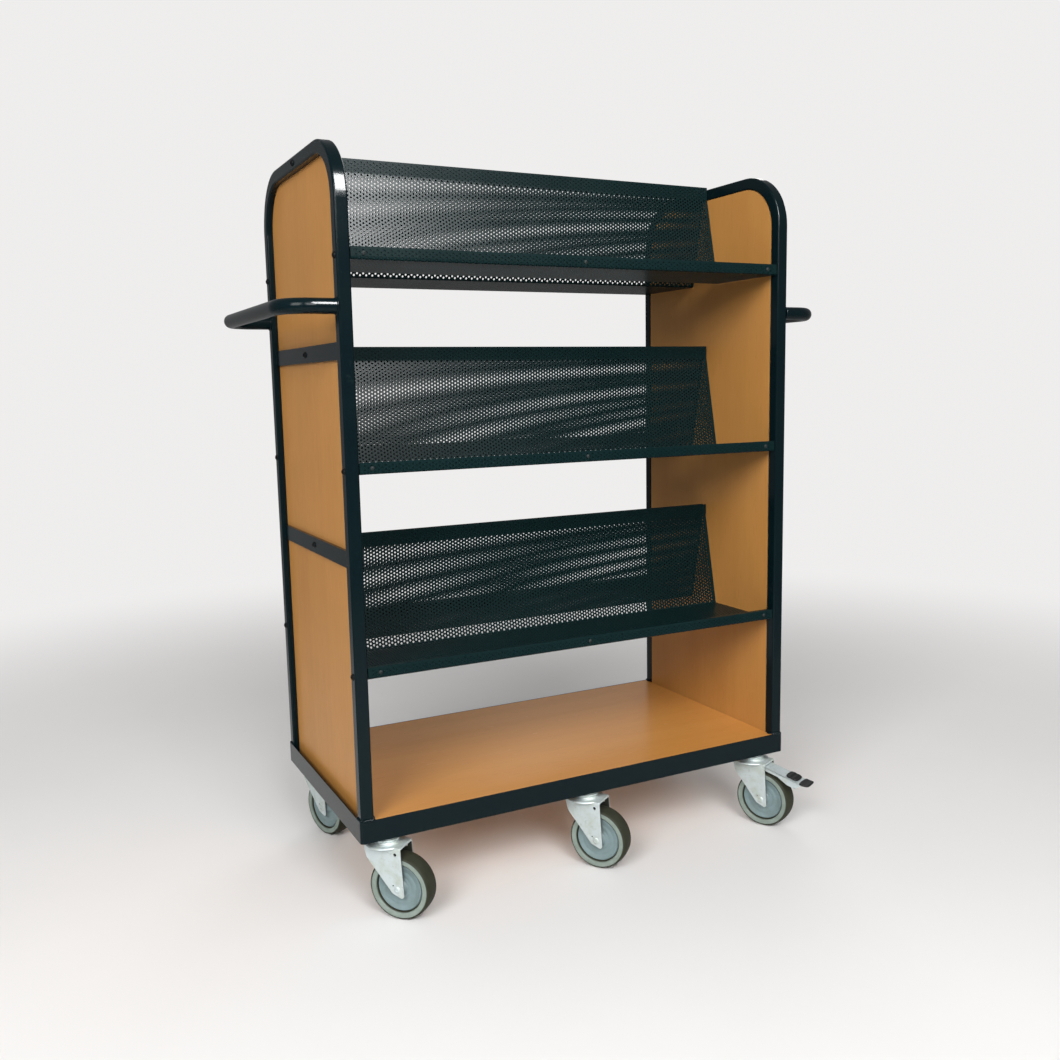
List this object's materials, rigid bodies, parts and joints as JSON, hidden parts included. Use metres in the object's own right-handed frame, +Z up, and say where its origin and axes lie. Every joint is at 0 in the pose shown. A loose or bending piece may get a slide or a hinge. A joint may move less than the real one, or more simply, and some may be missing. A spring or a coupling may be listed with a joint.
{
  "type": "book trolley",
  "caption": "Double sided library book trolley with sloping perforated steel shelves, beech ends and deck, tube end handles and braked swivel castors.",
  "frame": {"origin": "on the floor under the middle of the trolley", "axes": "+X along the shelves towards the braked right end, +Y from the front to the rear side, +Z up"},
  "size_m": [0.958, 0.5816, 1.1495],
  "materials": {
    "powder_coated_steel": "gloss",
    "beech": "satin lacquer",
    "zinc_plated_steel": "bright zinc",
    "black_bolt_steel": "semi-gloss",
    "tyre_rubber": "matt",
    "grey_plastic": "satin",
    "black_plastic": "matt"
  },
  "bodies": {
    "trolley_frame": {"base_frame": "powder_coated_steel", "left_end_frame": "powder_coated_steel", "right_end_frame": "powder_coated_steel", "left_upper_cross_bar": "powder_coated_steel", "left_lower_cross_bar": "powder_coated_steel", "right_upper_cross_bar": "powder_coated_steel", "right_lower_cross_bar": "powder_coated_steel", "top_front_shelf": "powder_coated_steel", "top_rear_shelf": "powder_coated_steel", "middle_front_shelf": "powder_coated_steel", "middle_rear_shelf": "powder_coated_steel", "lower_front_shelf": "powder_coated_steel", "lower_rear_shelf": "powder_coated_steel", "top_ridge_rail": "powder_coated_steel", "middle_ridge_rail": "powder_coated_steel", "lower_ridge_rail": "powder_coated_steel", "front_lip_rails": "powder_coated_steel", "rear_lip_rails": "powder_coated_steel", "left_handle": "powder_coated_steel", "right_handle": "powder_coated_steel", "deck_board": "beech", "left_end_panel": "beech", "right_end_panel": "beech", "post_bolts": "black_bolt_steel", "ridge_bolts": "black_bolt_steel", "lip_screws": "zinc_plated_steel", "castor_bolts": "zinc_plated_steel", "castor_nuts": "zinc_plated_steel", "castor_heads": "zinc_plated_steel"},
    "front_left_castor": {"front_left_fork": "zinc_plated_steel", "front_left_axle": "zinc_plated_steel"},
    "front_left_wheel": {"front_left_wheel_centre": "grey_plastic", "front_left_tyre": "tyre_rubber"},
    "front_middle_castor": {"front_middle_fork": "zinc_plated_steel", "front_middle_axle": "zinc_plated_steel"},
    "front_middle_wheel": {"front_middle_wheel_centre": "grey_plastic", "front_middle_tyre": "tyre_rubber"},
    "front_right_castor": {"front_right_fork": "zinc_plated_steel", "front_right_axle": "zinc_plated_steel", "front_right_pedal_pin": "zinc_plated_steel"},
    "front_right_wheel": {"front_right_wheel_centre": "grey_plastic", "front_right_tyre": "tyre_rubber"},
    "front_right_pedal": {"front_right_brake_pedal": "zinc_plated_steel", "front_right_pedal_pad": "black_plastic"},
    "rear_left_castor": {"rear_left_fork": "zinc_plated_steel", "rear_left_axle": "zinc_plated_steel"},
    "rear_left_wheel": {"rear_left_wheel_centre": "grey_plastic", "rear_left_tyre": "tyre_rubber"},
    "rear_middle_castor": {"rear_middle_fork": "zinc_plated_steel", "rear_middle_axle": "zinc_plated_steel"},
    "rear_middle_wheel": {"rear_middle_wheel_centre": "grey_plastic", "rear_middle_tyre": "tyre_rubber"},
    "rear_right_castor": {"rear_right_fork": "zinc_plated_steel", "rear_right_axle": "zinc_plated_steel", "rear_right_pedal_pin": "zinc_plated_steel"},
    "rear_right_wheel": {"rear_right_wheel_centre": "grey_plastic", "rear_right_tyre": "tyre_rubber"},
    "rear_right_pedal": {"rear_right_brake_pedal": "zinc_plated_steel", "rear_right_pedal_pad": "black_plastic"}
  },
  "joints": [
    {"name": "front_left_swivel", "type": "hinge", "parent": "trolley_frame", "child": "front_left_castor", "pos_m": [-0.35, -0.179, 0.1166], "axis": [0, 0, 1], "continuous": true},
    {"name": "front_left_wheel_spin", "type": "hinge", "parent": "front_left_castor", "child": "front_left_wheel", "pos_m": [-0.33193, -0.19906, 0.05], "axis": [0.7431, 0.6691, 0], "continuous": true},
    {"name": "front_middle_swivel", "type": "hinge", "parent": "trolley_frame", "child": "front_middle_castor", "pos_m": [0, -0.179, 0.1166], "axis": [0, 0, 1], "continuous": true},
    {"name": "front_middle_wheel_spin", "type": "hinge", "parent": "front_middle_castor", "child": "front_middle_wheel", "pos_m": [0.01549, -0.20112, 0.05], "axis": [0.8192, 0.5736, 0], "continuous": true},
    {"name": "front_right_swivel", "type": "hinge", "parent": "trolley_frame", "child": "front_right_castor", "pos_m": [0.35, -0.179, 0.1166], "axis": [0, 0, 1], "continuous": true},
    {"name": "front_right_wheel_spin", "type": "hinge", "parent": "front_right_castor", "child": "front_right_wheel", "pos_m": [0.36141, -0.20347, 0.05], "axis": [0.9063, 0.4226, 0], "continuous": true},
    {"name": "front_right_brake", "type": "hinge", "parent": "front_right_castor", "child": "front_right_pedal", "pos_m": [0.36183, -0.20438, 0.1075], "axis": [0.9063, 0.4226, 0], "range_deg": [0, 8]},
    {"name": "rear_left_swivel", "type": "hinge", "parent": "trolley_frame", "child": "rear_left_castor", "pos_m": [-0.35, 0.179, 0.1166], "axis": [0, 0, 1], "continuous": true},
    {"name": "rear_left_wheel_spin", "type": "hinge", "parent": "rear_left_castor", "child": "rear_left_wheel", "pos_m": [-0.34076, 0.15363, 0.05], "axis": [0.9397, 0.342, 0], "continuous": true},
    {"name": "rear_middle_swivel", "type": "hinge", "parent": "trolley_frame", "child": "rear_middle_castor", "pos_m": [0, 0.179, 0.1166], "axis": [0, 0, 1], "continuous": true},
    {"name": "rear_middle_wheel_spin", "type": "hinge", "parent": "rear_middle_castor", "child": "rear_middle_wheel", "pos_m": [0.0135, 0.20238, 0.05], "axis": [-0.866, 0.5, 0], "continuous": true},
    {"name": "rear_right_swivel", "type": "hinge", "parent": "trolley_frame", "child": "rear_right_castor", "pos_m": [0.35, 0.179, 0.1166], "axis": [0, 0, 1], "continuous": true},
    {"name": "rear_right_wheel_spin", "type": "hinge", "parent": "rear_right_castor", "child": "rear_right_wheel", "pos_m": [0.36141, 0.20347, 0.05], "axis": [-0.9063, 0.4226, 0], "continuous": true},
    {"name": "rear_right_brake", "type": "hinge", "parent": "rear_right_castor", "child": "rear_right_pedal", "pos_m": [0.36183, 0.20438, 0.1075], "axis": [-0.9063, 0.4226, 0], "range_deg": [0, 8]}
  ]
}
